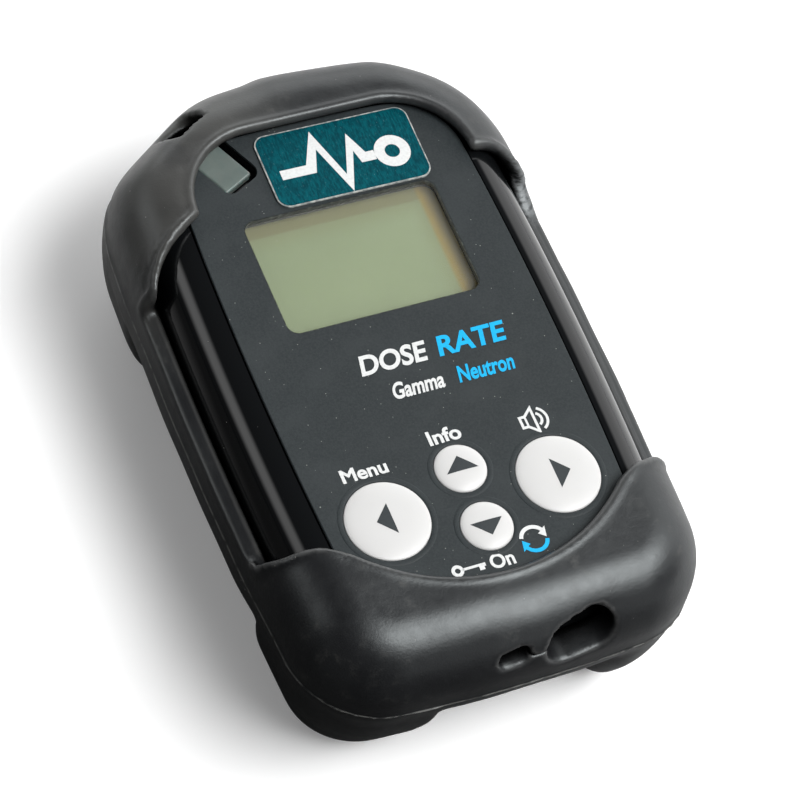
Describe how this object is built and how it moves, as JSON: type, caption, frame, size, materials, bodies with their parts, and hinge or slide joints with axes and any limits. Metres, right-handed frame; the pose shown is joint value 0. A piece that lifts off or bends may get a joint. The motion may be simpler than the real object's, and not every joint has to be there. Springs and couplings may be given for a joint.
{
  "type": "geiger counter",
  "caption": "Pocket gamma and neutron radiation meter in a rubber sleeve: gloss casing with display, round keys, hinged battery cover and detectors inside.",
  "frame": {"origin": "middle of the plane the sleeve's feet rest on", "axes": "+Z out of the display, +Y towards the detector end (the top of the display's picture), +X to the reader's right"},
  "size_m": [0.068, 0.1068, 0.0358],
  "materials": {
    "sleeve_rubber": "satin, lightly scuffed and dusty",
    "gloss_black": "polished",
    "overlay_film": "fine textured film",
    "label_film": "brushed print",
    "key_white": "satin",
    "clear_lens": "clear",
    "lcd_green": "satin, reflective",
    "milky_plastic": "translucent",
    "white_plastic": "matt",
    "black_plastic": "matt",
    "board_green": "solder resist",
    "steel": "bright",
    "tin_plate": "tinned",
    "brass": "bright",
    "seal_rubber": "matt",
    "cell_wrap": "shrink film",
    "amber_glass": "glassy"
  },
  "bodies": {
    "casing": {"rubber_sleeve": "sleeve_rubber", "front_shell": "gloss_black", "rear_shell": "gloss_black", "casing_gasket": "seal_rubber", "front_overlay": "overlay_film", "asset_label": "label_film", "light_pipe": "milky_plastic", "casing_screw_1": "steel", "casing_screw_2": "steel", "casing_screw_3": "steel", "casing_screw_4": "steel", "display_lens": "clear_lens", "lcd_glass": "lcd_green", "lcd_backlight": "white_plastic", "lcd_frame": "black_plastic", "lcd_connector": "seal_rubber", "switch_left": "tin_plate", "switch_right": "tin_plate", "switch_up": "tin_plate", "switch_down": "tin_plate", "main_board": "board_green", "processor": "black_plastic", "hv_transformer": "tin_plate", "jack_socket": "black_plastic", "alarm_led": "milky_plastic", "buzzer": "black_plastic", "board_screw_1": "steel", "board_screw_2": "steel", "sensor_board": "board_green", "board_connector": "black_plastic", "gm_tube": "steel", "energy_filter": "tin_plate", "tube_clip_1": "brass", "tube_clip_2": "brass", "photomultiplier": "amber_glass", "photomultiplier_clip": "brass", "neutron_scintillator": "tin_plate", "vibration_motor": "steel", "motor_clip": "tin_plate", "battery_1": "cell_wrap", "battery_2": "cell_wrap", "battery_spring_1": "steel", "battery_spring_2": "steel", "contact_plate": "tin_plate", "cover_hinge_pin": "steel"},
    "left_key": {"key_left": "key_white"},
    "right_key": {"key_right": "key_white"},
    "up_key": {"key_up": "key_white"},
    "down_key": {"key_down": "key_white"},
    "cover": {"battery_cover": "gloss_black", "cover_seal": "seal_rubber"},
    "lock": {"cover_lock": "steel"},
    "eccentric": {"motor_shaft": "steel", "motor_weight": "brass"}
  },
  "joints": [
    {"name": "key_left_press", "type": "slide", "parent": "casing", "child": "left_key", "axis": [0, 0, -1], "range_m": [0, 0.0004]},
    {"name": "key_right_press", "type": "slide", "parent": "casing", "child": "right_key", "axis": [0, 0, -1], "range_m": [0, 0.0004]},
    {"name": "key_up_press", "type": "slide", "parent": "casing", "child": "up_key", "axis": [0, 0, -1], "range_m": [0, 0.0004]},
    {"name": "key_down_press", "type": "slide", "parent": "casing", "child": "down_key", "axis": [0, 0, -1], "range_m": [0, 0.0004]},
    {"name": "battery_cover_hinge", "type": "hinge", "parent": "casing", "child": "cover", "pos_m": [0, 0.0187, 0.004], "axis": [1, 0, 0], "range_deg": [0, 100]},
    {"name": "cover_lock_turn", "type": "hinge", "parent": "cover", "child": "lock", "pos_m": [0, -0.0324, 0.004], "axis": [0, 0, -1], "range_deg": [0, 90]},
    {"name": "vibration_spin", "type": "hinge", "parent": "casing", "child": "eccentric", "pos_m": [-0.0055, -0.0412, 0.0199], "axis": [1, 0, 0], "continuous": true}
  ]
}
